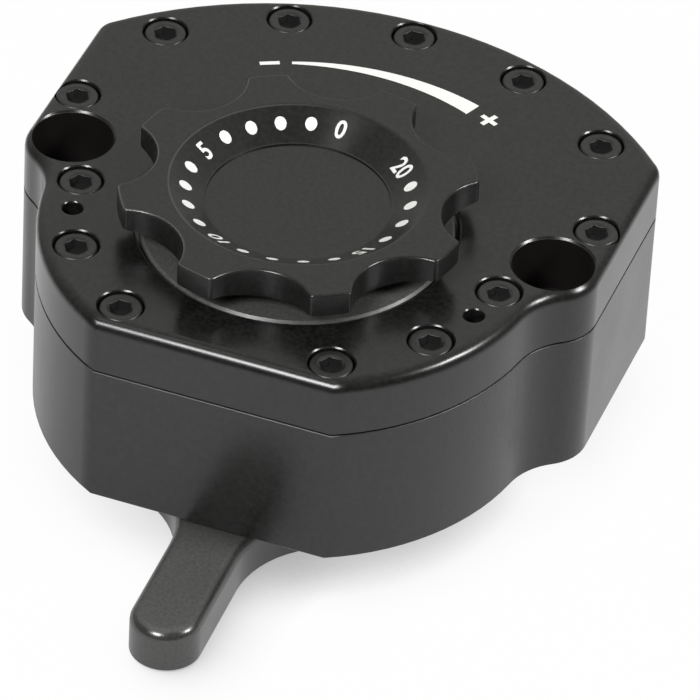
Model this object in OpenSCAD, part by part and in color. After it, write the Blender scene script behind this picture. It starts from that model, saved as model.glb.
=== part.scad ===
// Rotary steering damper for a motorcycle.
// A vane on a vertical shaft sweeps an oil chamber behind the shaft, and the arm below the body turns it.
// The knob on top turns a valve spool in the hollow shaft, which sets how fast oil passes the vane.
// Frame: +Z up, +Y to the back, origin midway between the two mounting bolts, on the bottom face.

/* [Body] */
// Distance between the two mounting bolts
bolt_span = 85; // [82:0.5:92]
// Radius of each mounting bolt hole
bolt_hole_r = 4.25; // [3.25:0.05:4.75]
// Radius of the deep recess for each mounting bolt's head
bolt_head_r = 6.85; // [6:0.05:7.1]
// Wall left round that recess at the ear
ear_wall = 1.15; // [1:0.05:3]
// Distance from the bolt line forward to the shaft axis
shaft_set = 6.5; // [5:0.1:9]
// Radius of the hollow between each ear and the round front
waist_r = 12; // [8:0.1:16]
// Distance from the shaft to the flat front face
front_flat = 37.65; // [37.3:0.05:39]
// Radius of the curved back
back_r = 67; // [62:0.1:90]
// Rounding of the two back corners
corner_r = 4; // [2.5:0.1:5]
// Height of the housing below the joint line
housing_h = 26.1; // [24:0.1:32]
// Thickness of the cover above the joint line
cover_t = 10.6; // [10:0.1:14]
// Rounding of the cover's top edge
top_round = 2.2; // [1:0.1:2.4]
// Small bevel on the bottom edges of the housing and the arm
edge_break = 0.4; // [0.2:0.05:0.6]
// Height of the shadow groove under the cover's edge at the joint line
seam_gap = 0.4; // [0.2:0.05:0.6]
// Depth of the shadow groove
seam_depth = 0.4; // [0.2:0.05:0.6]
// Bevel on the housing's edge at the joint line
seam_edge = 0.1; // [0.05:0.05:0.3]

/* [Chamber] */
// Swing of the arm each way from straight ahead, in degrees
swing = 45; // [30:1:50]
// Radius of the oil chamber about the shaft
chamber_r = 50; // [46:0.5:54]
// Thickness of the chamber floor
floor_t = 8; // [7:0.1:10]
// Thickness of the vane
vane_t = 8; // [6:0.1:10]
// Radius of the vane's hub
hub_r = 15; // [14:0.1:18]
// Depth of the seal slot that closes the front of the hub
dam_depth = 3; // [2:0.1:4]
// Width of that seal
dam_w = 4; // [3:0.1:6]
// Gap between the chamber wall and the cover seal's groove
seal_land = 1.2; // [1:0.1:1.6]
// Width of the cover seal
seal_w = 1.8; // [1.4:0.1:2]
// Height of the cover seal
seal_h = 1.4; // [1:0.1:1.8]

/* [Shaft] */
// Radius of the shaft in its bushes
shaft_r = 9; // [8.5:0.1:10]
// Wall of the bushes
bush_wall = 2.5; // [1.5:0.1:3]
// Length of the upper bush
upper_bush_l = 4; // [3:0.1:4.5]
// Thickness of the thrust washers
washer_t = 1; // [0.6:0.1:1.5]
// Height of the lip seal at the bottom
lip_seal_h = 3; // [2:0.1:4]
// Wall of the lip seal
lip_seal_wall = 4.5; // [3.5:0.1:5.5]

/* [Arm] */
// Turn of the arm from straight ahead at rest, in degrees
arm_rest = 1.3; // [-1.5:0.1:1.5]
// Gap between the body and the arm below it
arm_gap = 1.1; // [0.6:0.1:3]
// Thickness of the arm
arm_t = 8; // [7.5:0.1:10]
// Width of the arm
arm_w = 12; // [10:0.1:14]
// Distance from the shaft to the centre of the arm's round tip
arm_len = 58.4; // [52:0.1:75]
// Radius of the arm's round hub under the body
arm_hub_r = 30; // [26:0.1:33]
// Radius of the hollow where the arm leaves its hub
arm_flare_r = 17.5; // [12:0.1:22]
// Rounding of the arm's top edge
arm_round = 2; // [0.8:0.1:2.5]
// Width across the two flats that drive the arm
drive_flat_w = 12; // [11:0.1:13.5]
// Radius of the shaft's end between those flats
drive_r = 8; // [7.4:0.1:8.4]
// Radius of the arm bolt's thread
arm_bolt_r = 4; // [3:0.1:4.5]

/* [Screws] */
// Radius of the cover screws' thread
screw_r = 2; // [1.75:0.05:2.15]
// Radius of the cover screws' heads
screw_head_r = 3.6; // [3.2:0.05:3.8]
// Height of the cover screws' heads
screw_head_h = 4; // [3.5:0.1:4.5]
// Depth of those heads below the cover's top
screw_set = 0.3; // [0.1:0.05:1]
// Length of the cover screws under the head
screw_l = 16; // [13:0.5:18]
// Radius of the front row of screws about the shaft
front_row_r = 37; // [36.4:0.05:37.6]
// Wall between the front row's centres and the round front
front_land = 5.9; // [5.4:0.05:6.5]
// Angle of the front row's first screw below the X axis, in degrees
front_row_a = 6.3; // [5:0.1:8]
// Angle between neighbours in the front row, in degrees
front_row_step = 27.1; // [26:0.1:27.5]
// Wall between the chamber and the back row's centres
back_row_land = 6.1; // [6:0.05:8]
// Wall between the back row's centres and the middle of the curved back
back_land = 5.55; // [4.6:0.05:7]
// Angle between neighbours in the back row, in degrees
back_row_step = 22.2; // [20:0.1:22.6]
// Place of the ear screw beside its mounting bolt, to the side
ear_screw_out = 3.7; // [3:0.05:3.8]
// Place of the ear screw beside its mounting bolt, to the back
ear_screw_back = 11.1; // [11:0.05:13]
// Radius of the locating dowels
dowel_r = 1.7; // [1.5:0.05:2]
// Length of the locating dowels
dowel_l = 10; // [8:0.5:11]
// Angle of the dowels below the X axis, on the front row's circle, in degrees
dowel_a = 18.3; // [17.5:0.1:21]

/* [Knob] */
// Number of lobes on the knob
lobes = 8; // [6:1:9]
// Radius over the lobes
knob_r = 29.8; // [28.8:0.1:31]
// Radius of each scallop between lobes
scallop_r = 9.5; // [8.5:0.1:10]
// Distance from the shaft to the centres of the scallops
scallop_at = 33.6; // [33:0.1:35]
// Rounding of the lobes' corners
lobe_round = 0.8; // [0.6:0.05:1]
// Rounding of the knob's top edge
knob_edge = 0.5; // [0.3:0.05:0.55]
// Angle of the first lobe from the X axis, in degrees
lobe_phase = 31; // [0:1:45]
// Thickness of the knob's lobes at their tips
knob_t = 4.1; // [3.8:0.05:6]
// Height of the lobes' tips above the cover
knob_lift = 3.9; // [3.6:0.05:6]
// Fall of the knob's underside from the lobes' tips to its hub
knob_fall = 2.4; // [1.5:0.05:2.8]
// Radius of the dish at the knob's face
dish_r = 21.55; // [20:0.05:22]
// Radius of the dish's floor
dish_floor_r = 15.6; // [14:0.05:17]
// Depth of the dish
dish_d = 3.65; // [3:0.05:3.8]
// Radius of the knob's hub under the lobes
knob_hub_r = 19.5; // [17:0.1:21]

/* [Valve] */
// Radius of the valve spool
spool_r = 5; // [4.5:0.1:5.4]
// Radius of the gland's flange under the knob
flange_r = 26.1; // [25:0.1:27]
// Depth of the flange's seat in the cover
flange_set = 1.4; // [1.2:0.05:1.8]
// Depth of the gland's face below the cover's top
gland_drop = 0.4; // [0.3:0.05:0.6]
// Radius of the gland's neck in the cover
neck_r = 16; // [15.5:0.1:18]
// Thickness of the O-rings' cord
oring_t = 1.3; // [1:0.05:1.4]
// Radius of the port on each side of the vane
port_r = 1.2; // [0.8:0.05:1.5]
// Radius of the click ball
ball_r = 1.2; // [1:0.05:1.25]
// Radius of the ring of clicks about the shaft
click_ring_r = 10.5; // [10:0.1:11]
// Number of clicks from one end of the dial to the other
clicks = 20; // [12:1:21]
// Turn of the knob from one end of the dial to the other, in degrees
dial_turn = 315; // [270:1:320]

/* [Hidden] */
$fn = 64;

// Clearances
fit = 0.03;        // radial gap of a seated piece in its own body
run = 0.05;        // gap of a running face or shaft
free = 0.3;        // gap of a face that only passes by
seat_gap = 0.1;    // end gap of a piece in its pocket
over = 1;          // how far a cut runs past a face

// Heights
seam_z = housing_h;
top_z = housing_h + cover_t;
bush_top_z = seam_z + washer_t + upper_bush_l;
flange_z = top_z - flange_set;
knob_under_z = top_z + knob_lift;
knob_top_z = knob_under_z + knob_t;
dish_floor_z = knob_top_z - dish_d;
gland_top_z = top_z - gland_drop;
knob_hub_gap = 0.5;
knob_hub_z = gland_top_z + knob_hub_gap;
arm_top_z = -arm_gap;
arm_bottom_z = arm_top_z - arm_t;

// Plan of the body, measured from the shaft axis
bolt_x = bolt_span / 2;
ear_r = bolt_head_r + ear_wall;
ear_at = [bolt_x, shaft_set];
front_r = front_row_r + front_land;
back_row_r = chamber_r + back_row_land;
back_reach = back_row_r + back_land;
back_at = [0, back_reach - back_r];
corner_x = bolt_x + ear_r - corner_r;
corner_at = [corner_x, back_at.y + sqrt(pow(back_r - corner_r, 2) - pow(corner_x, 2))];
corner_a = atan2(corner_at.y - back_at.y, corner_x);
// The waist's centre lies a set distance from the ear's centre and from the shaft
waist_from_shaft = front_r + waist_r;
waist_from_ear = ear_r + waist_r;
ear_d = norm(ear_at);
waist_a = atan2(ear_at.y, ear_at.x) - acos(
    (pow(waist_from_shaft, 2) + pow(ear_d, 2) - pow(waist_from_ear, 2)) / (2 * waist_from_shaft * ear_d));
waist_at = waist_from_shaft * [cos(waist_a), sin(waist_a)];
waist_ear_a = atan2(ear_at.y - waist_at.y, ear_at.x - waist_at.x);

// Chamber and shaft
stop_margin = 4;
hub_bore_r = hub_r + run;
hub_z0 = floor_t + run;
hub_z1 = seam_z - run;
washer_r = hub_r - 0.8;
bush_r = shaft_r + bush_wall;
lip_seal_r = shaft_r + lip_seal_wall;
journal_top_z = bush_top_z - 2 * seat_gap;
spool_floor_z = floor_t + 4;
vane_tip_r = chamber_r - free;
vane_strip_t = 2.4;
vane_strip_d = 2;
port_a = asin((vane_t / 2 + port_r) / hub_r) + 3;
port_z = (floor_t + seam_z) / 2;

// Arm fastening
arm_washer_r = drive_r + 2;
arm_washer_t = 1.5;
arm_head_r = arm_bolt_r + 3;
arm_head_h = 2.6;
arm_recess_z = arm_bottom_z + arm_washer_t + arm_head_h + 0.3;
arm_thread_l = 10;
arm_key_w = 5;

// Cover screws and dowels
screw_top_z = top_z - screw_set;
screw_seat_z = screw_top_z - screw_head_h;
screw_recess_r = screw_head_r + free;
screw_bevel = 0.2;
screw_edge = 0.06;
screw_key_w = 3.6;
screw_key_d = 2;
screw_dish_w = 0.6;
screw_dish_d = 0.25;
bolt_bevel = 0.35;
dowel_up = 4.5;
dowel_hole_a = -dowel_a;

// Fill plug in the chamber floor
fill_at = chamber_r - 10;
plug_r = 3;
plug_head_r = 4.6;
plug_head_h = 2.2;
plug_seal_t = 0.8;
plug_key_w = 4;

// Gland, spool and clicks
flange_seat_gap = 0.8;
flange_bevel = 0.4;
seat_bevel = 0.35;
oring_r = oring_t / 2;
groove_h = oring_t + 0.3;
neck_groove_z = (bush_top_z + flange_z) / 2;
spool_flat = spool_r / 2;
socket_top_z = dish_floor_z - 0.8;
spool_top_z = socket_top_z - seat_gap;
grub_r = 1.2;
grub_l = 5;
grub_z = (knob_hub_z + socket_top_z) / 2;
grub_a = -90;
click_step = dial_turn / clicks;
click_d = 0.35;
click_a = 45;
ball_z = knob_hub_z - run - ball_r;
click_bore_z = bush_top_z + 0.7;
spring_wire_r = 0.15;
spring_turns = 4;
spring_z0 = click_bore_z + spring_wire_r;
spring_z1 = ball_z - ball_r - spring_wire_r - run;

// Points along an arc; an arc that runs straight on into the next one leaves its last point to it
function arc(c, r, a0, a1, n, joins = false) =
    [for (i = [0:n - (joins ? 1 : 0)]) let (a = a0 + (a1 - a0) * i / n) c + r * [cos(a), sin(a)]];

function mirrored(p) = [-p.x, p.y];

// Outline of the body, drawn in by d all round
function body_outline(d) =
    let (chord_a = asin((front_flat - d) / (front_r - d)))
    concat(
        arc(ear_at, ear_r - d, waist_ear_a - 180, 0, 8),
        arc(corner_at, corner_r - d, 0, corner_a, 5, true),
        arc(back_at, back_r - d, corner_a, 180 - corner_a, 28, true),
        arc(mirrored(corner_at), corner_r - d, 180 - corner_a, 180, 5),
        arc(mirrored(ear_at), ear_r - d, 180, 360 - waist_ear_a, 8, true),
        arc(mirrored(waist_at), waist_r + d, 180 - waist_ear_a, waist_a * -1, 8, true),
        arc([0, 0], front_r - d, 180 - waist_a, 180 + chord_a, 14),
        arc([0, 0], front_r - d, -chord_a, waist_a, 14, true),
        arc(waist_at, waist_r + d, 180 + waist_a, waist_ear_a, 8, true));

// Outline of the arm with its hub, drawn in by d all round
arm_flare_at = [arm_w / 2 + arm_flare_r,
    -sqrt(pow(arm_hub_r + arm_flare_r, 2) - pow(arm_w / 2 + arm_flare_r, 2))];
arm_flare_a = atan2(arm_flare_at.y, arm_flare_at.x);
function arm_outline(d) =
    concat(
        arc([0, -arm_len], arm_w / 2 - d, 180, 360, 20),
        arc(arm_flare_at, arm_flare_r + d, 180, 180 + arm_flare_a, 10, true),
        arc([0, 0], arm_hub_r - d, arm_flare_a, 180 - arm_flare_a, 48, true),
        arc(mirrored(arm_flare_at), arm_flare_r + d, -arm_flare_a, 0, 10));

// Outline of the knob, drawn in by d all round
lobe_step = 360 / lobes;
lobe_corner_d = knob_r - lobe_round;
scallop_reach = scallop_r + lobe_round;
// Angles at the shaft and at the scallop's centre, between the scallop and the lobe's rounded corner
corner_at_shaft = acos((pow(lobe_corner_d, 2) + pow(scallop_at, 2) - pow(scallop_reach, 2))
    / (2 * lobe_corner_d * scallop_at));
corner_at_scallop = acos((pow(scallop_reach, 2) + pow(scallop_at, 2) - pow(lobe_corner_d, 2))
    / (2 * scallop_reach * scallop_at));
function lobe_outline(a, d) =
    let (s = a - lobe_step / 2, c0 = s + corner_at_shaft, c1 = a + lobe_step / 2 - corner_at_shaft)
    concat(
        arc(scallop_at * [cos(s), sin(s)], scallop_r + d,
            s + 180 + corner_at_scallop, s + 180 - corner_at_scallop, 14, true),
        arc(lobe_corner_d * [cos(c0), sin(c0)], lobe_round - d, s - corner_at_scallop, c0, 4, true),
        arc([0, 0], knob_r - d, c0, c1, 4, true),
        arc(lobe_corner_d * [cos(c1), sin(c1)], lobe_round - d, c1, a + lobe_step / 2 + corner_at_scallop,
            4, true));
function knob_outline(d) = [for (i = [0:lobes - 1]) each lobe_outline(lobe_phase + i * lobe_step, d)];

// Rings [outline, height] of a rounded or bevelled top edge, and of a bevelled or stepped bottom edge
function rounded_top(outline, z, r, n) =
    [for (k = [0:n]) let (a = 90 * k / n) [outline(r * (1 - cos(a))), z - r * (1 - sin(a))]];
function bevelled_top(outline, z, b) = [[outline(0), z - b], [outline(b), z]];
function bevelled_bottom(outline, z, b) = [[outline(b), z], [outline(0), z + b]];
function stepped_bottom(outline, z, h, d) = [[outline(d), z], [outline(d), z + h], [outline(0), z + h]];

// A solid through rings of points that all have the same count; its ends fan out from the middle
module loft(rings) {
    n = len(rings[0][0]);
    m = len(rings);
    low = m * n;
    high = low + 1;
    points = concat([for (ring = rings) for (p = ring[0]) [p.x, p.y, ring[1]]],
        [[0, 0, rings[0][1]], [0, 0, rings[m - 1][1]]]);
    sides = [for (j = [0:m - 2]) for (i = [0:n - 1]) let (a = j * n + i, b = j * n + (i + 1) % n)
        each [[a, a + n, b + n], [a, b + n, b]]];
    ends = [for (i = [0:n - 1]) let (k = (i + 1) % n, t = (m - 1) * n)
        each [[low, i, k], [high, t + k, t + i]]];
    polyhedron(points, concat(sides, ends));
}

module at_shaft() {
    translate([0, -shaft_set, 0]) children();
}

// The arm and all that turns with it
module at_rotor() {
    at_shaft() rotate(arm_rest) children();
}

module at_bolts() {
    for (s = [-1, 1]) translate([s * bolt_x, 0, 0]) children();
}

// Places of the thirteen cover screws, from the shaft axis
front_row = [for (k = [0:2]) let (a = -front_row_a - k * front_row_step) front_row_r * [cos(a), sin(a)]];
back_row = [for (k = [1:2]) let (a = 90 - k * back_row_step) back_row_r * [cos(a), sin(a)]];
ear_screw = ear_at + [ear_screw_out, ear_screw_back];
screw_side = concat(front_row, back_row, [ear_screw]);
screw_places = concat([[0, back_row_r]], screw_side, [for (p = screw_side) mirrored(p)]);
dowel_side = front_row_r * [cos(dowel_hole_a), sin(dowel_hole_a)];
dowel_places = [dowel_side, mirrored(dowel_side)];

module at_screws() {
    at_shaft() for (p = screw_places) translate(p) children();
}

module at_dowels() {
    at_shaft() for (p = dowel_places) translate(p) children();
}

// A tube or washer standing on z
module tube(r_out, r_in, z0, z1) {
    translate([0, 0, z0]) difference() {
        cylinder(r = r_out, h = z1 - z0);
        translate([0, 0, -over]) cylinder(r = r_in, h = z1 - z0 + 2 * over);
    }
}

// A solid cylinder between two heights
module post(r, z0, z1) {
    translate([0, 0, z0]) cylinder(r = r, h = z1 - z0);
}

// A hexagon socket with a given width across its flats, cut down from z
module hex_socket(w, z, d) {
    translate([0, 0, z - d]) cylinder(r = w / 2 / cos(30), h = d + over, $fn = 6);
}

// Cut that bevels the mouth of a hole at height z
module mouth_bevel(r, b, z) {
    translate([0, 0, z - b]) cylinder(r1 = r, r2 = r + 2 * b, h = 2 * b);
}

// O-ring round the shaft axis
module oring(r_mid, z) {
    translate([0, 0, z]) rotate_extrude() translate([r_mid, 0]) circle(r = oring_r, $fn = 32);
}

// Plan of the oil chamber with the hub's bore, grown by g; the hub's bore grows by hub_g
module chamber_plan(g, hub_g) {
    half_a = swing + stop_margin;
    side_gap = vane_t / 2 + g;
    reach = 2 * (chamber_r + g);
    intersection() {
        circle(r = chamber_r + g);
        polygon([[0, -side_gap / sin(half_a)], [reach * tan(half_a), reach - side_gap / sin(half_a)],
            [-reach * tan(half_a), reach - side_gap / sin(half_a)]]);
    }
    circle(r = hub_bore_r + hub_g);
}

// Plan of the loop that the cover seal follows, with a gap to its groove's sides
module seal_plan(gap) {
    difference() {
        chamber_plan(seal_land + seal_w - gap, dam_depth + seal_land + seal_w - gap);
        chamber_plan(seal_land + gap, dam_depth + seal_land + gap);
    }
}

module base_housing() {
    color([0.2, 0.2, 0.2]) difference() {
        at_shaft() loft(concat(bevelled_bottom(function (d) body_outline(d), 0, edge_break),
            bevelled_top(function (d) body_outline(d), seam_z, seam_edge)));
        at_shaft() {
            translate([0, 0, floor_t]) linear_extrude(housing_h) chamber_plan(0, 0);
            translate([0, 0, seam_z - seal_h]) linear_extrude(seal_h + over) seal_plan(0);
            post(washer_r + fit, floor_t - washer_t, floor_t + over);
            post(bush_r + fit, -over, floor_t);
            post(lip_seal_r + fit, -over, lip_seal_h);
            translate([-dam_w / 2 - fit, -hub_bore_r - dam_depth - fit, floor_t])
                cube([dam_w + 2 * fit, hub_bore_r, housing_h]);
            translate([0, fill_at, 0]) {
                post(plug_r + fit, -over, floor_t + over);
                post(plug_head_r + fit, -over, plug_head_h + plug_seal_t);
            }
        }
        at_bolts() post(bolt_hole_r, -over, seam_z + over);
        at_screws() post(screw_r + fit, screw_seat_z - screw_l - over, seam_z + over);
        at_dowels() post(dowel_r + fit, seam_z + dowel_up - dowel_l, seam_z + over);
    }
}

module top_cover() {
    color([0.25, 0.25, 0.24]) difference() {
        at_shaft() loft(concat(stepped_bottom(function (d) body_outline(d), seam_z, seam_gap, seam_depth),
            rounded_top(function (d) body_outline(d), top_z, top_round, 6)));
        at_shaft() {
            post(washer_r + fit, seam_z - over, seam_z + washer_t);
            post(bush_r + fit, seam_z, bush_top_z);
            post(neck_r + fit, bush_top_z, top_z);
            post(flange_r + flange_seat_gap, flange_z, top_z + over);
            mouth_bevel(flange_r + flange_seat_gap, seat_bevel, top_z);
        }
        at_bolts() {
            post(bolt_head_r, seam_z - over, top_z + over);
            mouth_bevel(bolt_head_r, bolt_bevel, top_z);
        }
        at_screws() {
            post(screw_r + free, seam_z - over, top_z);
            post(screw_recess_r, screw_seat_z, top_z + over);
            mouth_bevel(screw_recess_r, screw_bevel, top_z);
        }
        at_dowels() {
            post(dowel_r + fit, seam_z - over, top_z + over);
            mouth_bevel(dowel_r, screw_bevel, top_z);
        }
    }
}

module cover_seal() {
    color([0.08, 0.08, 0.08])
        at_shaft() translate([0, 0, seam_z - seal_h]) linear_extrude(seal_h - fit) seal_plan(fit);
}

module cover_screws() {
    color([0.16, 0.16, 0.17]) at_screws() difference() {
        union() {
            post(screw_r, screw_seat_z - screw_l, screw_seat_z + screw_key_d / 2);
            post(screw_head_r, screw_seat_z, screw_top_z - screw_edge);
            translate([0, 0, screw_top_z - screw_edge])
                cylinder(r1 = screw_head_r, r2 = screw_head_r - screw_edge, h = screw_edge);
        }
        hex_socket(screw_key_w, screw_top_z, screw_key_d);
        translate([0, 0, screw_top_z - screw_dish_d])
            cylinder(r1 = screw_key_w / 2, r2 = screw_key_w / 2 + 2 * screw_dish_w, h = 2 * screw_dish_d);
    }
}

module dowel_pins() {
    color([0.6, 0.6, 0.62]) at_dowels() post(dowel_r, seam_z + dowel_up - dowel_l, seam_z + dowel_up);
}

module upper_bush() {
    color([0.7, 0.5, 0.25])
        at_shaft() tube(bush_r, shaft_r + run, seam_z + washer_t, bush_top_z);
}

module lower_bush() {
    color([0.7, 0.5, 0.25])
        at_shaft() tube(bush_r, shaft_r + run, lip_seal_h, floor_t - washer_t);
}

module upper_thrust_washer() {
    color([0.75, 0.6, 0.35]) at_shaft() tube(washer_r, shaft_r + run, seam_z, seam_z + washer_t);
}

module lower_thrust_washer() {
    color([0.75, 0.6, 0.35]) at_shaft() tube(washer_r, shaft_r + run, floor_t - washer_t, floor_t);
}

module shaft_lip_seal() {
    color([0.1, 0.1, 0.1]) at_shaft() tube(lip_seal_r, shaft_r + run, seat_gap, lip_seal_h);
}

module hub_seal() {
    color([0.1, 0.1, 0.1]) at_shaft() difference() {
        translate([-dam_w / 2, -hub_bore_r - dam_depth, floor_t])
            cube([dam_w, dam_depth + hub_bore_r / 2, housing_h - floor_t]);
        post(hub_bore_r, 0, top_z);
    }
}

module fill_plug() {
    color([0.16, 0.16, 0.17]) at_shaft() translate([0, fill_at, 0]) difference() {
        union() {
            post(plug_head_r, seat_gap, plug_head_h);
            post(plug_r, plug_head_h / 2, floor_t - free);
        }
        mirror([0, 0, 1]) hex_socket(plug_key_w, -seat_gap, plug_head_h);
    }
}

module fill_plug_seal() {
    color([0.1, 0.1, 0.1])
        at_shaft() translate([0, fill_at, 0]) tube(plug_head_r, plug_r + fit, plug_head_h,
            plug_head_h + plug_seal_t);
}

module valve_gland() {
    color([0.3, 0.3, 0.29]) at_shaft() difference() {
        rotate_extrude() polygon([
            [spool_r + run, bush_top_z + seat_gap], [neck_r, bush_top_z + seat_gap],
            [neck_r, neck_groove_z - groove_h / 2], [neck_r - oring_t, neck_groove_z - groove_h / 2],
            [neck_r - oring_t, neck_groove_z + groove_h / 2], [neck_r, neck_groove_z + groove_h / 2],
            [neck_r, flange_z], [flange_r, flange_z], [flange_r, gland_top_z - flange_bevel],
            [flange_r - flange_bevel, gland_top_z], [spool_r + run, gland_top_z]]);
        rotate(click_a) translate([click_ring_r, 0, 0]) post(ball_r + run, click_bore_z, top_z + over);
    }
}

module gland_oring() {
    color([0.08, 0.08, 0.08]) at_shaft() oring(neck_r - oring_r, neck_groove_z);
}

// Wound spring under the click ball, as one tube along a helix
module detent_spring() {
    sides = 6;
    rings_per_turn = 8;
    steps = spring_turns * rings_per_turn;
    coil_r = ball_r - spring_wire_r - 2 * run;
    rise = (spring_z1 - spring_z0) / steps;
    points = [for (j = [0:steps]) for (i = [0:sides - 1])
        let (a = 360 * j / rings_per_turn, b = 360 * i / sides, r = coil_r + spring_wire_r * cos(b))
        [r * cos(a), r * sin(a), spring_z0 + j * rise + spring_wire_r * sin(b)]];
    walls = [for (j = [0:steps - 1]) for (i = [0:sides - 1])
        let (p = j * sides + i, q = j * sides + (i + 1) % sides)
        each [[p, q, q + sides], [p, q + sides, p + sides]]];
    ends = [[for (i = [0:sides - 1]) sides - 1 - i], [for (i = [0:sides - 1]) steps * sides + i]];
    color([0.7, 0.7, 0.72]) at_shaft() rotate(click_a) translate([click_ring_r, 0, 0])
        polyhedron(points, concat(walls, ends));
}

module detent_ball() {
    color([0.8, 0.8, 0.82])
        at_shaft() rotate(click_a) translate([click_ring_r, 0, ball_z]) sphere(r = ball_r);
}

module vane_shaft() {
    color([0.62, 0.62, 0.64]) at_rotor() difference() {
        union() {
            post(hub_r, hub_z0, hub_z1);
            post(shaft_r, arm_top_z, journal_top_z);
            intersection() {
                post(drive_r, arm_recess_z + seat_gap, floor_t);
                translate([-drive_flat_w / 2, -drive_r, arm_recess_z])
                    cube([drive_flat_w, 2 * drive_r, floor_t - arm_recess_z]);
            }
            intersection() {
                post(vane_tip_r, floor_t + free, seam_z - free);
                translate([-vane_t / 2, 0, floor_t]) cube([vane_t, chamber_r, housing_h]);
            }
        }
        vane_slot(fit, vane_strip_d + fit);
        post(spool_r + run, spool_floor_z, top_z);
        post(arm_bolt_r + fit, arm_bottom_z, arm_recess_z + arm_thread_l);
        for (s = [-1, 1]) rotate([0, 0, 90 + s * port_a]) translate([0, 0, port_z])
            rotate([0, 90, 0]) cylinder(r = port_r, h = hub_r + over, $fn = 32);
    }
}

// Strip round the three free edges of the vane, with a gap to its slot and a depth into the vane
module vane_slot(gap, depth) {
    t = vane_strip_t / 2 + gap;
    inner_r = vane_tip_r - depth;
    difference() {
        translate([-t, hub_r, 0]) cube([2 * t, chamber_r, top_z]);
        translate([-vane_t, 0, floor_t + free + depth])
            cube([2 * vane_t, inner_r, seam_z - floor_t - 2 * (free + depth)]);
    }
}

module vane_seal() {
    color([0.12, 0.12, 0.12]) at_rotor() intersection() {
        vane_slot(0, vane_strip_d);
        post(chamber_r - run, hub_z0, hub_z1);
        translate([-vane_t / 2, hub_r + fit, 0]) cube([vane_t, chamber_r, top_z]);
    }
}

module link_arm() {
    color([0.3, 0.3, 0.29]) at_rotor() difference() {
        loft(concat(bevelled_bottom(function (d) arm_outline(d), arm_bottom_z, edge_break),
            rounded_top(function (d) arm_outline(d), arm_top_z, arm_round, 6)));
        intersection() {
            post(drive_r + fit, arm_bottom_z - over, over);
            translate([-drive_flat_w / 2 - fit, -drive_r - over, arm_bottom_z - over])
                cube([drive_flat_w + 2 * fit, 2 * drive_r + 2 * over, arm_t + 3 * over]);
        }
        post(arm_washer_r + free, arm_bottom_z - over, arm_recess_z);
    }
}

module arm_washer() {
    color([0.6, 0.6, 0.62])
        at_rotor() tube(arm_washer_r, arm_bolt_r + free, arm_recess_z - arm_washer_t, arm_recess_z);
}

module arm_bolt() {
    head_z1 = arm_recess_z - arm_washer_t;
    head_z0 = head_z1 - arm_head_h;
    color([0.16, 0.16, 0.17]) at_rotor() difference() {
        union() {
            post(arm_head_r, head_z0, head_z1);
            post(arm_bolt_r, head_z0 + over, arm_recess_z + arm_thread_l - over);
        }
        mirror([0, 0, 1]) hex_socket(arm_key_w, -head_z0, arm_head_h * 0.7);
    }
}

module adjuster_knob() {
    floor_step = 0.25;
    rim = 0.3;
    dish_flare = (dish_r - dish_floor_r) / dish_d;
    under_slope = knob_fall / (knob_r - knob_hub_r);
    color([0.25, 0.25, 0.24]) at_shaft() difference() {
        loft(concat([[knob_outline(0), knob_hub_z]],
            rounded_top(function (d) knob_outline(d), knob_top_z, knob_edge, 3)));
        rotate_extrude() polygon([
            [knob_hub_r, knob_hub_z - over], [knob_hub_r, knob_under_z - knob_fall],
            [knob_r + over, knob_under_z + over * under_slope], [knob_r + over, knob_hub_z - over]]);
        rotate_extrude() polygon([
            [0, dish_floor_z - floor_step], [dish_floor_r - floor_step, dish_floor_z - floor_step],
            [dish_floor_r - floor_step, dish_floor_z], [dish_floor_r, dish_floor_z],
            [dish_r - rim, knob_top_z - rim / dish_flare],
            [dish_r + rim + 2 * over * dish_flare, knob_top_z + over], [0, knob_top_z + over]]);
        post(spool_r + fit, knob_hub_z - over, socket_top_z);
        rotate([0, 0, grub_a]) translate([0, 0, grub_z]) rotate([0, 90, 0])
            cylinder(r = grub_r + fit, h = knob_hub_r + over, $fn = 32);
        for (k = [0:clicks]) rotate(click_a + k * click_step)
            translate([click_ring_r, 0, knob_hub_z - ball_r - run + click_d])
                sphere(r = ball_r + run, $fn = 32);
    }
}

module knob_grub_screw() {
    color([0.16, 0.16, 0.17]) at_shaft() rotate([0, 0, grub_a]) translate([0, 0, grub_z])
        rotate([0, 90, 0]) difference() {
            post(grub_r, spool_r + seat_gap, spool_r + grub_l);
            hex_socket(grub_r, spool_r + grub_l, grub_l / 3);
        }
}

module valve_spool() {
    ring_z = [neck_groove_z, bush_top_z - upper_bush_l];
    color([0.7, 0.7, 0.72]) at_shaft() difference() {
        post(spool_r, spool_floor_z + free, spool_top_z);
        for (z = ring_z) tube(spool_r + over, spool_r - oring_t, z - groove_h / 2, z + groove_h / 2);
        translate([-spool_r, spool_flat, port_z - 2 * port_r])
            cube([2 * spool_r, spool_r, 4 * port_r]);
    }
}

module spool_orings() {
    color([0.08, 0.08, 0.08]) at_shaft()
        for (z = [neck_groove_z, bush_top_z - upper_bush_l]) oring(spool_r - oring_r, z);
}

base_housing();
top_cover();
cover_seal();
cover_screws();
dowel_pins();
upper_bush();
lower_bush();
upper_thrust_washer();
lower_thrust_washer();
shaft_lip_seal();
hub_seal();
fill_plug();
fill_plug_seal();
valve_gland();
gland_oring();
detent_spring();
detent_ball();
vane_shaft();
vane_seal();
link_arm();
arm_washer();
arm_bolt();
adjuster_knob();
knob_grub_screw();
valve_spool();
spool_orings();
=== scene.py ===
"""Looks of the rotary steering damper: finishes, dial marks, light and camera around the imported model."""

import math

import bmesh
import bpy
from mathutils import Matrix, Vector


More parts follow.
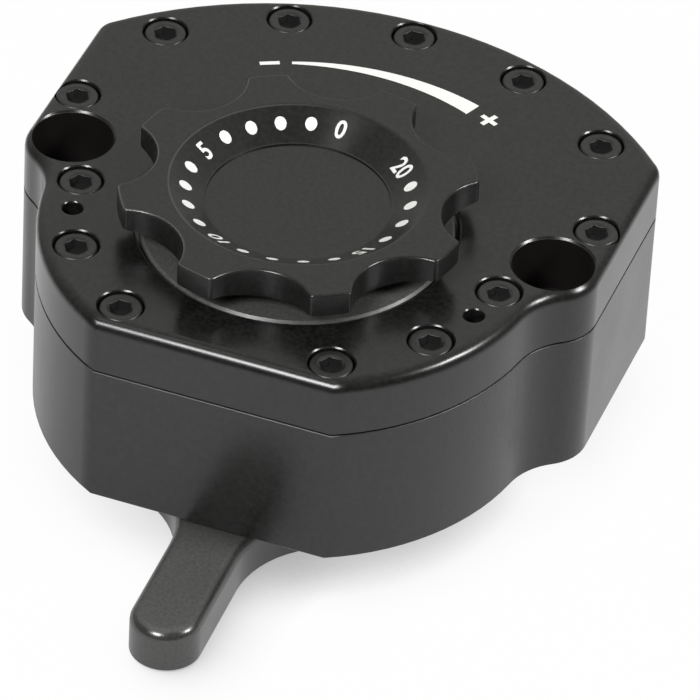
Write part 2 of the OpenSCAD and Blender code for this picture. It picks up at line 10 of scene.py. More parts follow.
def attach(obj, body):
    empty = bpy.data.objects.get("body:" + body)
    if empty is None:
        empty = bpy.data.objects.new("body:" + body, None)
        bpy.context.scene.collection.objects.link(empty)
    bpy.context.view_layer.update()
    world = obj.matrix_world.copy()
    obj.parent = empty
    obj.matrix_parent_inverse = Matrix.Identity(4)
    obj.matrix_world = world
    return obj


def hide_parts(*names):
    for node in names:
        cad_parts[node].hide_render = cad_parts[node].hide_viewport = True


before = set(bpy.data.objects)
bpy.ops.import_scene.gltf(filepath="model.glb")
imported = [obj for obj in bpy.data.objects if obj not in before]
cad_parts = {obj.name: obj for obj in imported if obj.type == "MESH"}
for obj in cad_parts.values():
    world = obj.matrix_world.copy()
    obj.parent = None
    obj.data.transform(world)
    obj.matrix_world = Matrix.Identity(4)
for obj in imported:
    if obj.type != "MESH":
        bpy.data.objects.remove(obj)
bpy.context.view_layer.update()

MM = 0.001

# Places shared with the model, in mm
SHAFT_Y = -6.5
SEAM_Z = 26.1
COVER_TOP = 36.7
KNOB_TOP = 44.7
DISH_R = 21.55
DISH_FLOOR_R = 15.6
DISH_FLOOR_Z = 41.05
FLOOR_Z = -9.1
BOLT_X = 42.5
RECESS_R = 6.9
SCREW_R = 3.6
SCREW_TOP = 36.4


# Materials

# Tones of painted shade in the bolt recesses and the screws' sockets, and of the knob's edges, pale from
# wear and a painted highlight
RECESS_SHADE_TONE = (0.005, 0.003, 0.0027)
SOCKET_SHADE_TONE = (0.002, 0.002, 0.002)
WEAR_AND_HIGHLIGHT_TONE = (0.12, 0.12, 0.115)

# Greys, roughness and refraction of the finishes, and how far their tones vary
WARM = 0.96                # blue of the greys against red and green
BLACK = 0.009
SATIN = 0.24
BLACK_IOR = 1.55
BLACK_RANGE = 0.0035
SCREW_GREY = 0.016
SCREW_ROUGH = 0.38
MATT_RANGE = 0.24          # share of the grey
METAL_RANGE = 0.08         # share of the colour

# Sizes of the patterns, in waves per metre
CLOUD_SCALE = 90
GRAIN_SCALE = 1300
MILL_STRETCH = (2600, 2600, 60)
MATT_CLOUD_SCALE = 120
MATT_GRAIN_SCALE = 1900
RING_SCALE = 900
METAL_GRAIN_SCALE = 3000
METAL_CLOUD_SCALE = 400
PLAIN_GRAIN_SCALE = 2500

# What sunk, sheltered and milled places add to the roughness, and the cutter marks to the relief
RECESS_DULL = 0.25
SEAM_DULL = 0.2
SOCKET_DULL = 0.5
WALL_DULL = 0.16
MILL_DULL = 0.06
FLAT_DULL = 0.35
MILL_HEIGHT = 36

# Where the seam's edge, the sockets' painted shade and the knob's pale edges (wear and painted highlight)
# start, in mm
SEAM_EDGE_Z = SEAM_Z - 0.15
SOCKET_Z = SCREW_TOP - 0.4
WEAR_AND_HIGHLIGHT_Z = KNOB_TOP - 0.18


def new_material(name):
    """An empty material with a Principled shader; returns material, nodes, links and shader."""
    mat = bpy.data.materials.new(name)
    mat.use_nodes = True
    nodes, links = mat.node_tree.nodes, mat.node_tree.links
    nodes.clear()
    out = nodes.new("ShaderNodeOutputMaterial")
    shader = nodes.new("ShaderNodeBsdfPrincipled")
    links.new(shader.outputs["BSDF"], out.inputs["Surface"])
    return mat, nodes, links, shader


def noise(nodes, links, scale, detail=2.0, stretch=None):
    """A noise value in object space; stretch scales the three axes first."""
    coords = nodes.new("ShaderNodeTexCoord")
    tex = nodes.new("ShaderNodeTexNoise")
    tex.inputs["Scale"].default_value = scale
    tex.inputs["Detail"].default_value = detail
    source = coords.outputs["Object"]
    if stretch:
        mapping = nodes.new("ShaderNodeMapping")
        mapping.inputs["Scale"].default_value = stretch
        links.new(source, mapping.inputs["Vector"])
        source = mapping.outputs["Vector"]
    links.new(source, tex.inputs["Vector"])
    return tex.outputs["Fac"]


def remap(nodes, links, value, low, high, from_low=0.3, from_high=0.7):
    """A value stretched from one range to another."""
    node = nodes.new("ShaderNodeMapRange")
    node.inputs["From Min"].default_value = from_low
    node.inputs["From Max"].default_value = from_high
    node.inputs["To Min"].default_value = low
    node.inputs["To Max"].default_value = high
    links.new(value, node.inputs["Value"])
    return node.outputs["Result"]


def math_node(nodes, links, operation, a, b):
    """Two numbers or linked values put together."""
    node = nodes.new("ShaderNodeMath")
    node.operation = operation
    for socket, value in zip(node.inputs, (a, b)):
        if isinstance(value, (int, float)):
            socket.default_value = value
        else:
            links.new(value, socket)
    return node.outputs[0]


def add_share(nodes, links, value, mask, amount):
    """A value plus a mask times an amount."""
    return math_node(nodes, links, "ADD", value, math_node(nodes, links, "MULTIPLY", mask, amount))


def split_xyz(nodes, links, vector):
    """The three parts of a linked vector."""
    split = nodes.new("ShaderNodeSeparateXYZ")
    links.new(vector, split.inputs["Vector"])
    return split.outputs


def place_of(nodes, links):
    """X, Y and Z in the object's own space, in metres."""
    return split_xyz(nodes, links, nodes.new("ShaderNodeTexCoord").outputs["Object"])


def facing_of(nodes, links):
    """X, Y and Z of the surface's normal."""
    return split_xyz(nodes, links, nodes.new("ShaderNodeNewGeometry").outputs["Normal"])


def two_tone(nodes, links, value, dark, light):
    """A colour between two tones, picked by a value."""
    ramp = nodes.new("ShaderNodeValToRGB")
    ramp.color_ramp.elements[0].position = 0.3
    ramp.color_ramp.elements[0].color = (*dark, 1)
    ramp.color_ramp.elements[1].position = 0.7
    ramp.color_ramp.elements[1].color = (*light, 1)
    links.new(value, ramp.inputs["Fac"])
    return ramp.outputs["Color"]


def add_bump(nodes, links, shader, height, strength, distance):
    """Fine relief from a linked height."""
    bump = nodes.new("ShaderNodeBump")
    bump.inputs["Strength"].default_value = strength
    bump.inputs["Distance"].default_value = distance
    links.new(height, bump.inputs["Height"])
    links.new(bump.outputs["Normal"], shader.inputs["Normal"])


def shades(colour, spread):
    """A darker and a lighter shade of a colour."""
    return [tuple(c * k for c in colour) for k in (1 - spread, 1 + spread)]


def tone(grey, spread):
    """Two nearly equal greys, a touch warm."""
    return shades((grey, grey, grey * WARM), spread)


def in_bolt_recess(nodes, links):
    """One inside the two upright bolt recesses and nought elsewhere."""
    place = place_of(nodes, links)
    across = math_node(nodes, links, "ABSOLUTE", place["X"], 0)
    across = math_node(nodes, links, "SUBTRACT", across, BOLT_X * MM)
    across = math_node(nodes, links, "MULTIPLY", across, across)
    along = math_node(nodes, links, "MULTIPLY", place["Y"], place["Y"])
    square = math_node(nodes, links, "ADD", across, along)
    return math_node(nodes, links, "LESS_THAN", square, (RECESS_R * MM) ** 2)


def worn_edge(nodes, links, above):
    """How pale a sloping edge above a height is, from wear and a painted highlight: most on steep edges and
    on the knob's left.
    """
    place, facing = place_of(nodes, links), facing_of(nodes, links)
    edge = math_node(nodes, links, "GREATER_THAN", place["Z"], above * MM)
    sloping = math_node(nodes, links, "LESS_THAN", facing["Z"], 0.97)
    steep = remap(nodes, links, facing["Z"], 1, 0.3, 0.75, 0.84)
    on_left = remap(nodes, links, place["X"], 1, 0.1, -0.012, 0.004)
    return math_node(nodes, links, "MULTIPLY", math_node(nodes, links, "MULTIPLY", edge, sloping),
                     math_node(nodes, links, "MULTIPLY", steep, on_left))


def cutter_marks(nodes, links):
    """Upright streaks on the side walls, strongest on the flanks."""
    facing = facing_of(nodes, links)
    up = math_node(nodes, links, "ABSOLUTE", facing["Z"], 0)
    across = math_node(nodes, links, "ABSOLUTE", facing["X"], 0)
    side = math_node(nodes, links, "MULTIPLY", remap(nodes, links, up, 1, 0, 0.1, 0.5),
                     remap(nodes, links, across, 0.2, 1, 0.6, 0.95))
    return math_node(nodes, links, "MULTIPLY", noise(nodes, links, 1, 3, MILL_STRETCH), side)


def mix_colour(nodes, links, factor, colour, other):
    """A linked colour that gives way to another, linked or fixed."""
    mix = nodes.new("ShaderNodeMix")
    mix.data_type = "RGBA"
    links.new(factor, mix.inputs["Factor"])
    links.new(colour, mix.inputs["A"])
    if isinstance(other, tuple):
        mix.inputs["B"].default_value = (*other, 1)
    else:
        links.new(other, mix.inputs["B"])
    return mix.outputs["Result"]


def anodised(name, grey, rough, mill=False, recess=False, dull_above=None, shade_below=None, wear_and_highlight_above=None):
    """Satin black anodised aluminium with a fine grain.

    mill adds cutter marks on the side walls and recess paints shade into the bolt recesses. At the given
    heights in mm dull_above dulls an edge, shade_below paints shade into the sockets, and
    wear_and_highlight_above pales edges, as wear and as a painted highlight, and dulls the walls.
    """
    mat, nodes, links, shader = new_material(name)
    cloud = noise(nodes, links, CLOUD_SCALE, 3)
    grain = noise(nodes, links, GRAIN_SCALE, 1)
    colour = two_tone(nodes, links, grain, *tone(grey, BLACK_RANGE / grey))
    roughness = remap(nodes, links, cloud, rough - 0.02, rough + 0.02)
    height = grain
    # Painted shade: a darker, duller tone inside the bolt recesses.
    if recess:
        painted_shade_mask = in_bolt_recess(nodes, links)
        colour = mix_colour(nodes, links, painted_shade_mask, colour, RECESS_SHADE_TONE)
        roughness = add_share(nodes, links, roughness, painted_shade_mask, RECESS_DULL)
    if dull_above:
        edge = math_node(nodes, links, "GREATER_THAN", place_of(nodes, links)["Z"], dull_above * MM)
        roughness = add_share(nodes, links, roughness, edge, SEAM_DULL)
    # Painted shade: a darker, duller tone in the sockets below the given height.
    if shade_below:
        painted_shade_mask = math_node(nodes, links, "LESS_THAN", place_of(nodes, links)["Z"], shade_below * MM)
        colour = mix_colour(nodes, links, painted_shade_mask, colour, SOCKET_SHADE_TONE)
        roughness = add_share(nodes, links, roughness, painted_shade_mask, SOCKET_DULL)
    # Pale sloping top edges: partly wear, partly a painted highlight.
    if wear_and_highlight_above:
        colour = mix_colour(nodes, links, worn_edge(nodes, links, wear_and_highlight_above), colour, WEAR_AND_HIGHLIGHT_TONE)
        wall = math_node(nodes, links, "LESS_THAN", facing_of(nodes, links)["Z"], 0.5)
        roughness = add_share(nodes, links, roughness, wall, WALL_DULL)
    if mill:
        marks = cutter_marks(nodes, links)
        roughness = add_share(nodes, links, roughness, marks, MILL_DULL)
        height = add_share(nodes, links, grain, marks, MILL_HEIGHT)
    links.new(colour, shader.inputs["Base Color"])
    links.new(roughness, shader.inputs["Roughness"])
    shader.inputs["IOR"].default_value = BLACK_IOR
    add_bump(nodes, links, shader, height, strength=0.025, distance=0.00004)
    return mat


def matt(name, grey, rough, ior, rings=False, lit_top_grey=None):
    """Dull dark grey anodised finish.

    rings adds fine turning lines about the shaft axis, and lit_top_grey is a paler tone on the top face:
    painted light; the milled top is also duller.
    """
    mat, nodes, links, shader = new_material(name)
    grain = noise(nodes, links, MATT_GRAIN_SCALE, 2)
    colour = two_tone(nodes, links, grain, *tone(grey, MATT_RANGE))
    cloud = noise(nodes, links, MATT_CLOUD_SCALE, 2)
    roughness = remap(nodes, links, cloud, rough - 0.04, rough + 0.04)
    height = grain
    # Painted light: the top face gets a paler tone than the rounded edges and sides.
    if lit_top_grey:
        milled_lit_top = remap(nodes, links, facing_of(nodes, links)["Z"], 0, 1, 0.78, 0.96)
        pale = two_tone(nodes, links, grain, *tone(lit_top_grey, MATT_RANGE))
        colour = mix_colour(nodes, links, milled_lit_top, colour, pale)
        roughness = add_share(nodes, links, roughness, milled_lit_top, FLAT_DULL)
    if rings:
        coords = nodes.new("ShaderNodeTexCoord")
        mapping = nodes.new("ShaderNodeMapping")
        mapping.inputs["Location"].default_value = (0, -SHAFT_Y * MM, 0)
        wave = nodes.new("ShaderNodeTexWave")
        wave.wave_type = "RINGS"
        wave.rings_direction = "Z"
        wave.inputs["Scale"].default_value = RING_SCALE
        wave.inputs["Distortion"].default_value = 0.6
        links.new(coords.outputs["Object"], mapping.inputs["Vector"])
        links.new(mapping.outputs["Vector"], wave.inputs["Vector"])
        height = math_node(nodes, links, "ADD", grain, wave.outputs["Fac"])
    links.new(colour, shader.inputs["Base Color"])
    links.new(roughness, shader.inputs["Roughness"])
    shader.inputs["IOR"].default_value = ior
    add_bump(nodes, links, shader, height, strength=0.12, distance=0.00003)
    return mat


def metal(name, colour, rough):
    """Bare metal with a fine grain."""
    mat, nodes, links, shader = new_material(name)
    grain = noise(nodes, links, METAL_GRAIN_SCALE, 3)
    links.new(two_tone(nodes, links, grain, *shades(colour, METAL_RANGE)), shader.inputs["Base Color"])
    shader.inputs["Metallic"].default_value = 1.0
    cloud = noise(nodes, links, METAL_CLOUD_SCALE, 2)
    links.new(remap(nodes, links, cloud, rough - 0.05, rough + 0.05), shader.inputs["Roughness"])
    add_bump(nodes, links, shader, grain, strength=0.08, distance=0.00003)
    return mat


def plain(name, colour, rough, spread):
    """Rubber or ink: a dull surface with a little mottling."""
    mat, nodes, links, shader = new_material(name)
    grain = noise(nodes, links, PLAIN_GRAIN_SCALE, 2)
    links.new(two_tone(nodes, links, grain, *shades(colour, spread)), shader.inputs["Base Color"])
    links.new(remap(nodes, links, grain, rough - 0.05, rough + 0.05), shader.inputs["Roughness"])
    return mat


# The cover's and the housing's bolt recesses get painted shade.
cover_black = anodised("cover_black", BLACK, SATIN, recess=True)
housing_black = anodised("housing_black", BLACK, SATIN, mill=True, recess=True, dull_above=SEAM_EDGE_Z)
# The knob's sloping top edges are paler: wear with a painted highlight, most on its left.
knob_black = anodised("knob_black", BLACK, SATIN, wear_and_highlight_above=WEAR_AND_HIGHLIGHT_Z)
# The arm's top face is painted paler than its edges: painted light.
arm_black = matt("arm_grey", grey=0.03, rough=0.25, ior=1.72, lit_top_grey=0.06)
gland_grey = matt("gland_grey", grey=0.08, rough=0.38, ior=1.5, rings=True)
screw_black = anodised("screw_black", SCREW_GREY, SCREW_ROUGH)
# The screws' sockets get painted shade.
head_black = anodised("head_black", SCREW_GREY, SCREW_ROUGH, shade_below=SOCKET_Z)
steel = metal("ground_steel", (0.55, 0.55, 0.56), rough=0.28)
bronze = metal("bronze", (0.62, 0.40, 0.17), rough=0.35)
rubber = plain("seal_rubber", (0.02, 0.02, 0.02), rough=0.6, spread=0.06)
white_ink = plain("white_ink", (0.86, 0.86, 0.85), rough=0.55, spread=0.02)


# The model's own pieces

# Rounding of the screws, in mm: the head's edge and the socket's rim, with the limits that find their points
HEAD_ROUND = 0.5
HEAD_TOP_DEPTH = 0.01
HEAD_EDGE_DEPTH = 0.1
KEY_ROUND = 0.14
KEY_RIM_R = 2.15
KEY_RIM_DEPTH = 0.3
KEY_RIM_ANGLE = 40         # degrees

# Clean-up of the copied meshes
MERGE_DIST = 2e-6          # m
FLAT_ANGLE = 0.2           # degrees
NORMAL_WEIGHT = 90


def solids_of(bm):
    """The separate solids of a mesh, each as a list of its points."""
    seen, solids = set(), []
    for first in bm.verts:
        if first in seen:
            continue
        seen.add(first)
        solid = [first]
        for point in solid:
            for edge in point.link_edges:
                other = edge.other_vert(point)
                if other not in seen:
                    seen.add(other)
                    solid.append(other)
        solids.append(solid)
    return solids


def soften_screws(bm):
    """Rounds the edge of each screw's head and the rim of its socket."""
    axes = []
    for solid in solids_of(bm):
        xs, ys = [v.co.x for v in solid], [v.co.y for v in solid]
        axes.append(Vector(((min(xs) + max(xs)) / 2, (min(ys) + max(ys)) / 2)))

    def place(v):
        """A point's screw axis, its distance from that in mm and its depth below the head's top in mm."""
        axis = min(axes, key=lambda a: (v.co.xy - a).length)
        return axis, (v.co.xy - axis).length / MM, SCREW_TOP - v.co.z / MM

    inner = SCREW_R - HEAD_ROUND
    top, side = set(), set()
    for v in bm.verts:
        axis, r, depth = place(v)
        if r > inner and depth < HEAD_TOP_DEPTH:
            v.co.xy = axis + (v.co.xy - axis) * (inner / r)
            top.add(v)
        elif r > inner and depth < HEAD_EDGE_DEPTH:
            v.co.z = (SCREW_TOP - HEAD_ROUND) * MM
            side.add(v)
    slopes = [e for e in bm.edges if (e.verts[0] in top and e.verts[1] in side)
              or (e.verts[1] in top and e.verts[0] in side)]
    for v in bmesh.ops.subdivide_edges(bm, edges=slopes, cuts=4, use_grid_fill=True)["geom_inner"]:
        if isinstance(v, bmesh.types.BMVert):
            axis, r, _ = place(v)
            a = (r - inner) / HEAD_ROUND * math.pi / 2
            v.co.xy = axis + (v.co.xy - axis) * ((inner + HEAD_ROUND * math.sin(a)) / r)
            v.co.z = (SCREW_TOP - HEAD_ROUND * (1 - math.cos(a))) * MM
    rim = set()
    for v in bm.verts:
        _, r, depth = place(v)
        if r < KEY_RIM_R and HEAD_TOP_DEPTH < depth < KEY_RIM_DEPTH:
            rim.add(v)
    rims = [e for e in bm.edges if e.verts[0] in rim and e.verts[1] in rim
            and e.calc_face_angle(0) > math.radians(KEY_RIM_ANGLE)]
    bmesh.ops.bevel(bm, geom=rims, offset=KEY_ROUND * MM, segments=5, profile=0.5, affect="EDGES",
                    clamp_overlap=True)


def dress(node, piece, material, body, angle):
    """A copy of a CAD node that stands for it, shaded smooth up to an angle in degrees between faces."""
    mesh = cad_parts[node].data.copy()
    mesh.name = piece
    bm = bmesh.new()
    bm.from_mesh(mesh)
    bmesh.ops.remove_doubles(bm, verts=bm.verts, dist=MERGE_DIST)
    bmesh.ops.dissolve_limit(bm, angle_limit=math.radians(FLAT_ANGLE), verts=bm.verts, edges=bm.edges)
    if node == "cover_screws":
        soften_screws(bm)
    bm.to_mesh(mesh)
    bm.free()
    if "custom_normal" in mesh.attributes:
        mesh.attributes.remove(mesh.attributes["custom_normal"])
    mesh.materials.clear()
    mesh.materials.append(material)
    mesh.shade_smooth()
    mesh.set_sharp_from_angle(angle=math.radians(angle))
    obj = bpy.data.objects.new(piece, mesh)
    bpy.context.scene.collection.objects.link(obj)
    weighted = obj.modifiers.new("Weighted", "WEIGHTED_NORMAL")
    weighted.keep_sharp = True
    weighted.weight = NORMAL_WEIGHT
    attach(obj, body)
    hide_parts(node)
    return obj


for node, piece, material, body, slot, angle in (
    ("base_housing", "housing_shell", housing_black, "housing", "housing_black", 32),
    ("top_cover", "cover_plate", cover_black, "housing", "cover_black", 32),
    ("cover_screws", "socket_screws", head_black, "housing", "screw_black", 22),
    ("fill_plug", "oil_plug", screw_black, "housing", "screw_black", 32),
    ("valve_gland", "gland_disc", gland_grey, "housing", "gland_grey", 32),
    ("adjuster_knob", "scalloped_knob", knob_black, "knob", "knob_black", 31),
    ("link_arm", "swing_arm", arm_black, "rotor", "arm_black", 32),
    ("arm_bolt", "arm_fixing_bolt", screw_black, "rotor", "screw_black", 32),
    ("arm_washer", "arm_fixing_washer", steel, "rotor", "ground_steel", 32),
):
    dress(node, piece, material, body, angle)

for material, nodes in (
    (steel, ("dowel_pins", "detent_spring", "detent_ball", "vane_shaft", "valve_spool")),
    (bronze, ("upper_bush", "lower_bush", "upper_thrust_washer", "lower_thrust_washer")),
    (rubber, ("cover_seal", "shaft_lip_seal", "hub_seal", "fill_plug_seal", "gland_oring", "vane_seal",
              "spool_orings")),
    (screw_black, ("knob_grub_screw",)),
):
    for name in nodes:
        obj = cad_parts[name]
        obj.data.materials.clear()
        obj.data.materials.append(material)


# Dial marks on the cone of the knob's dish, in mm

DIAL_START = 88.6          # degrees
DIAL_STEP = 15.75          # degrees
DIAL_CLICKS = 20
DIAL_R = 18.57
NUMBER_EVERY = 5
NUMBER_HEIGHT = 3.4
NUMBER_NARROW = 0.84
DOT_WIDTH = 2.0
DOT_HEIGHT = 2.5
CONE_A = math.atan2(KNOB_TOP - DISH_FLOOR_Z, DISH_R - DISH_FLOOR_R)
LIFT = 0.03


def on_cone(angle, u, w):
    """A point of the dial: u mm to the right along the circle and w mm outward up the slope."""
    on_slope = DIAL_R + w * math.cos(CONE_A)
    r = on_slope - LIFT * math.sin(CONE_A)
    z = DISH_FLOOR_Z + (on_slope - DISH_FLOOR_R) * math.tan(CONE_A) + LIFT * math.cos(CONE_A)
    a = math.radians(angle) - u / DIAL_R
    return Vector((r * math.cos(a), SHAFT_Y + r * math.sin(a), z)) * MM


def glyph(text, height, narrow):
    """Flat outline faces of a number, centred, with the given height: points and faces."""
    curve = bpy.data.curves.new("glyph", "FONT")
    curve.body = text
    curve.align_x = "CENTER"
    curve.resolution_u = 4
    curve.offset = 0.022
    holder = bpy.data.objects.new("glyph", curve)
    bpy.context.scene.collection.objects.link(holder)
    bpy.context.view_layer.update()
    mesh = bpy.data.meshes.new_from_object(holder.evaluated_get(bpy.context.evaluated_depsgraph_get()))
    points = [v.co.copy() for v in mesh.vertices]
    faces = [tuple(p.vertices) for p in mesh.polygons]
    bpy.data.objects.remove(holder)
    bpy.data.curves.remove(curve)
    bpy.data.meshes.remove(mesh)
    low_x, high_x = min(p.x for p in points), max(p.x for p in points)
    low_y, high_y = min(p.y for p in points), max(p.y for p in points)
    k = height / (high_y - low_y)
    mid_x, mid_y = (low_x + high_x) / 2, (low_y + high_y) / 2
    return [((p.x - mid_x) * k * narrow, (p.y - mid_y) * k) for p in points], faces


def dot(width, height, sides=24):
    """An oval as one face."""
    points = []
    for i in range(sides):
        a = 2 * math.pi * i / sides
        points.append((width / 2 * math.cos(a), height / 2 * math.sin(a)))
    return points, [tuple(range(sides))]


def flat_piece(name, shapes, body, material):
    """One mesh from several (points, faces) sets that are already in the shared frame, in metres."""
    verts, faces = [], []
    for points, polys in shapes:
        base = len(verts)
        verts += points
        faces += [tuple(base + i for i in poly) for poly in polys]
    mesh = bpy.data.meshes.new(name)
    mesh.from_pydata(verts, [], faces)
    mesh.materials.append(material)
    obj = bpy.data.objects.new(name, mesh)
    bpy.context.scene.collection.objects.link(obj)
    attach(obj, body)


dial = []
for i in range(DIAL_CLICKS + 1):
    angle = DIAL_START + i * DIAL_STEP
    if i % NUMBER_EVERY == 0:
        points, faces = glyph(str(i), NUMBER_HEIGHT, NUMBER_NARROW)
    else:
        points, faces = dot(DOT_WIDTH, DOT_HEIGHT)
    dial.append(([on_cone(angle, u, w) for u, w in points], faces))
flat_piece("dial_marks", dial, "knob", white_ink)


# Plain marks on the cover behind the knob, in mm: an index and a tapering arc from less to more

INDEX_IN_R = 33.0
INDEX_OUT_R = 36.2
INDEX_HALF = 2.4           # degrees
ARC_R = 43.5
ARC_HALF = 22              # degrees
ARC_THIN = 0.7
ARC_WIDE = 3.2
SIGN_TURN = 27             # degrees
SIGN_LENGTH = 3.4
SIGN_WIDTH = 0.9


def on_cover(r, angle):
    """A point on the cover's top at a radius and an angle about the shaft axis."""
    a = math.radians(angle)
    return Vector((r * math.cos(a), SHAFT_Y + r * math.sin(a), COVER_TOP + LIFT)) * MM


def arc_wedge(r, a0, a1, w0, w1, steps=40):
    """An arc on the cover from angle a0 to a1, its width going from w0 to w1."""
    points, faces = [], []
    for i in range(steps + 1):
        t = i / steps
        a, w = a0 + (a1 - a0) * t, w0 + (w1 - w0) * t
        points += [on_cover(r - w / 2, a), on_cover(r + w / 2, a)]
    for i in range(steps):
        faces.append((2 * i, 2 * i + 1, 2 * i + 3, 2 * i + 2))
    return points, faces


def sign(r, angle, length, width, plus):
    """A minus or plus sign on the cover, square to the circle."""
    centre = on_cover(r, angle)
    a = math.radians(angle + 90)
    along = Vector((math.cos(a), math.sin(a), 0))
    across = Vector((-math.sin(a), math.cos(a), 0))
    h, w = length / 2, width / 2
    corners = [(-h, -w), (-w, -w), (w, -w), (h, -w), (h, w), (w, w), (-w, w), (-h, w)]
    faces = [(0, 1, 6, 7), (1, 2, 5, 6), (2, 3, 4, 5)]
    if plus:
        corners += [(-w, -h), (w, -h), (w, h), (-w, h)]
        faces += [(8, 9, 2, 1), (6, 5, 10, 11)]
    return [centre + (along * x + across * y) * MM for x, y in corners], faces


index = [
    on_cover(INDEX_IN_R, 90),
    on_cover(INDEX_OUT_R, 90 - INDEX_HALF),
    on_cover(INDEX_OUT_R, 90 + INDEX_HALF),
]
cover_marks = [
    (index, [(0, 1, 2)]),
    arc_wedge(ARC_R, 90 + ARC_HALF, 90 - ARC_HALF, ARC_THIN, ARC_WIDE),
    sign(ARC_R, 90 + SIGN_TURN, SIGN_LENGTH, SIGN_WIDTH, False),
    sign(ARC_R, 90 - SIGN_TURN, SIGN_LENGTH, SIGN_WIDTH, True),
]
flat_piece("cover_marks", cover_marks, "housing", white_ink)


# Floor, light and camera; lengths in metres unless noted

FLOOR_HALF = 6.0
FLOOR_GREY = (0.6, 0.6, 0.6, 1)
FLOOR_GLOW = 0.98          # how much of what is seen is glow
SHADE_REACH = 0.0125
SHADE_LEAN = (-0.59, 0.25, 0.77)
SHADE_DEPTH = 0.75
MIRROR_REACH = 0.05
MIRROR_DEPTH = 0.6         # at the left of the slanted band
MIRROR_BAND = (-0.05, 0.04)
MIRROR_SLANT = 0.6         # share of Y that is added to X across the band
FADE_BAND = (0.13, 0.30)
FADE_TO = 0.25

WORLD_TINT = (1, 1, 0.94, 1)
WORLD_DIM = 0.08

LAMP_AIM = Vector((0, 0, 0.02))

CAMERA_RIGHT = Vector((0.93538, 0.35086, 0.04420))
CAMERA_UP = Vector((-0.2532, 0.5772, 0.7763))
CAMERA_PLACE = Vector((300.31, -872.24, 751.04)) * MM
CAMERA_LENS = 363.0        # mm
CAMERA_SENSOR = 36         # mm


def make_floor():
    """A wide pale floor that shows close to white, with a soft shade under the object."""
    size, z = FLOOR_HALF, FLOOR_Z * MM
    corners = [(-size, -size, z), (size, -size, z), (size, size, z), (-size, size, z)]
    mesh = bpy.data.meshes.new("floor")
    mesh.from_pydata(corners, [], [(0, 1, 2, 3)])
    obj = bpy.data.objects.new("floor", mesh)
    bpy.context.scene.collection.objects.link(obj)
    mat = bpy.data.materials.new("floor_white")
    mat.use_nodes = True
    nodes, links = mat.node_tree.nodes, mat.node_tree.links
    nodes.clear()
    out = nodes.new("ShaderNodeOutputMaterial")
    diffuse = nodes.new("ShaderNodeBsdfDiffuse")
    diffuse.inputs["Color"].default_value = FLOOR_GREY
    glow = nodes.new("ShaderNodeEmission")
    glow.inputs["Color"].default_value = (1, 1, 1, 1)
    rays = nodes.new("ShaderNodeLightPath")
    under = nodes.new("ShaderNodeAmbientOcclusion")
    under.inputs["Distance"].default_value = SHADE_REACH
    lean = nodes.new("ShaderNodeCombineXYZ")
    for socket, value in zip(lean.inputs, SHADE_LEAN):
        socket.default_value = value
    links.new(lean.outputs["Vector"], under.inputs["Normal"])
    covered = math_node(nodes, links, "SUBTRACT", 1.0, under.outputs["AO"])
    covered = math_node(nodes, links, "MULTIPLY", covered, covered)
    shade = math_node(nodes, links, "MULTIPLY", covered, SHADE_DEPTH)
    shade = math_node(nodes, links, "MULTIPLY", shade, rays.outputs["Is Camera Ray"])
    coords = nodes.new("ShaderNodeTexCoord")
    place = split_xyz(nodes, links, coords.outputs["Object"])
    across = add_share(nodes, links, place["X"], place["Y"], MIRROR_SLANT)
    beside = nodes.new("ShaderNodeAmbientOcclusion")
    beside.inputs["Distance"].default_value = MIRROR_REACH
    dim = math_node(nodes, links, "MULTIPLY", math_node(nodes, links, "SUBTRACT", 1.0, beside.outputs["AO"]),
                    remap(nodes, links, across, MIRROR_DEPTH, 0, *MIRROR_BAND))
    dim = math_node(nodes, links, "MULTIPLY", dim, rays.outputs["Is Glossy Ray"])
    shade = math_node(nodes, links, "ADD", shade, dim)
    away = nodes.new("ShaderNodeVectorMath")
    away.operation = "LENGTH"
    links.new(coords.outputs["Object"], away.inputs[0])
    reach = math_node(nodes, links, "MAXIMUM", rays.outputs["Is Camera Ray"],
                      remap(nodes, links, away.outputs["Value"], 1, FADE_TO, *FADE_BAND))
    links.new(math_node(nodes, links, "MULTIPLY", reach, math_node(nodes, links, "SUBTRACT", 1.0, shade)),
              glow.inputs["Strength"])
    seen = math_node(nodes, links, "MAXIMUM", rays.outputs["Is Camera Ray"], rays.outputs["Is Glossy Ray"])
    share = math_node(nodes, links, "MULTIPLY", seen, FLOOR_GLOW)
    mix = nodes.new("ShaderNodeMixShader")
    links.new(share, mix.inputs["Fac"])
    links.new(diffuse.outputs["BSDF"], mix.inputs[1])
    links.new(glow.outputs["Emission"], mix.inputs[2])
    links.new(mix.outputs["Shader"], out.inputs["Surface"])
    mesh.materials.append(mat)


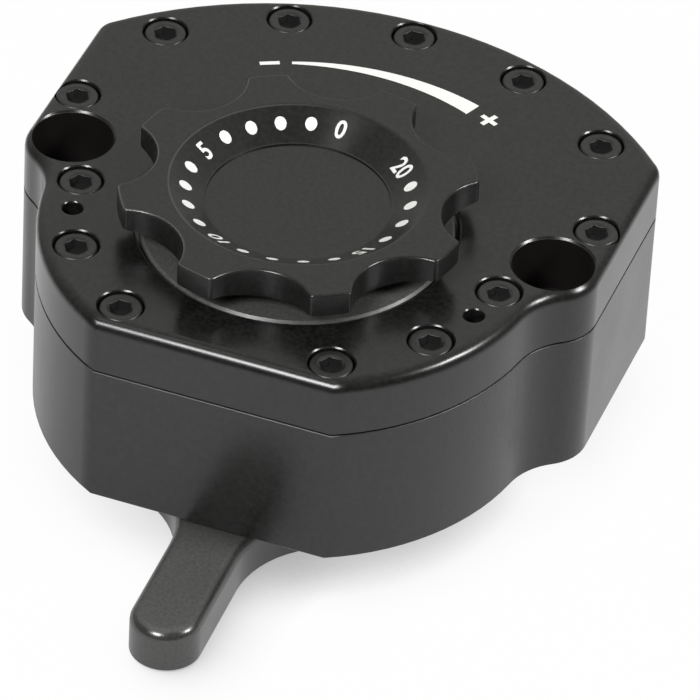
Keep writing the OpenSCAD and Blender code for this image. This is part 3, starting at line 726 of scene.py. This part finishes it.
def make_world():
    """A dim studio with a large pale screen high up behind the object."""
    world = bpy.data.worlds.new("studio")
    bpy.context.scene.world = world
    world.use_nodes = True
    nodes, links = world.node_tree.nodes, world.node_tree.links
    nodes.clear()
    out = nodes.new("ShaderNodeOutputWorld")
    background = nodes.new("ShaderNodeBackground")
    aim = split_xyz(nodes, links, nodes.new("ShaderNodeTexCoord").outputs["Generated"])
    above = remap(nodes, links, aim["Z"], 0.57, 1, 0, 0.55)
    behind = remap(nodes, links, aim["Y"], 0, 0.56, -0.45, 0.6)
    beside = remap(nodes, links, aim["X"], 1, 0.3, 0.25, 0.75)
    screen = math_node(nodes, links, "MULTIPLY", math_node(nodes, links, "MULTIPLY", above, behind), beside)
    links.new(math_node(nodes, links, "ADD", screen, WORLD_DIM), background.inputs["Strength"])
    background.inputs["Color"].default_value = WORLD_TINT
    links.new(background.outputs["Background"], out.inputs["Surface"])


def add_light(name, azimuth, elevation, distance, size, watts):
    """A round studio light aimed at the object, with its angles in degrees."""
    data = bpy.data.lights.new(name, "AREA")
    data.shape = "DISK"
    data.size = size
    data.energy = watts
    obj = bpy.data.objects.new(name, data)
    a, e = math.radians(azimuth), math.radians(elevation)
    away = Vector((math.cos(a) * math.cos(e), math.sin(a) * math.cos(e), math.sin(e)))
    obj.location = away * distance + LAMP_AIM
    obj.rotation_euler = away.to_track_quat("Z", "Y").to_euler()
    bpy.context.scene.collection.objects.link(obj)


def make_camera():
    """The photograph's viewpoint."""
    right = CAMERA_RIGHT
    back = right.cross(CAMERA_UP)
    up = back.cross(right)
    data = bpy.data.cameras.new("camera")
    data.sensor_fit = "HORIZONTAL"
    data.sensor_width = CAMERA_SENSOR
    data.lens = CAMERA_LENS
    data.clip_start = 0.05
    data.clip_end = 50
    obj = bpy.data.objects.new("camera", data)
    turn = Matrix((right.normalized(), up.normalized(), back.normalized())).transposed()
    obj.matrix_world = Matrix.Translation(CAMERA_PLACE) @ turn.to_4x4()
    bpy.context.scene.collection.objects.link(obj)
    bpy.context.scene.camera = obj


make_floor()
make_world()
add_light("right_lamp", azimuth=6, elevation=37, distance=1.5, size=0.42, watts=13)
add_light("front_lamp", azimuth=-103, elevation=44, distance=1.5, size=0.54, watts=18)
add_light("top_lamp", azimuth=-148, elevation=70, distance=1.5, size=0.36, watts=0.4)
make_camera()
bpy.context.scene.view_settings.view_transform = "Standard"
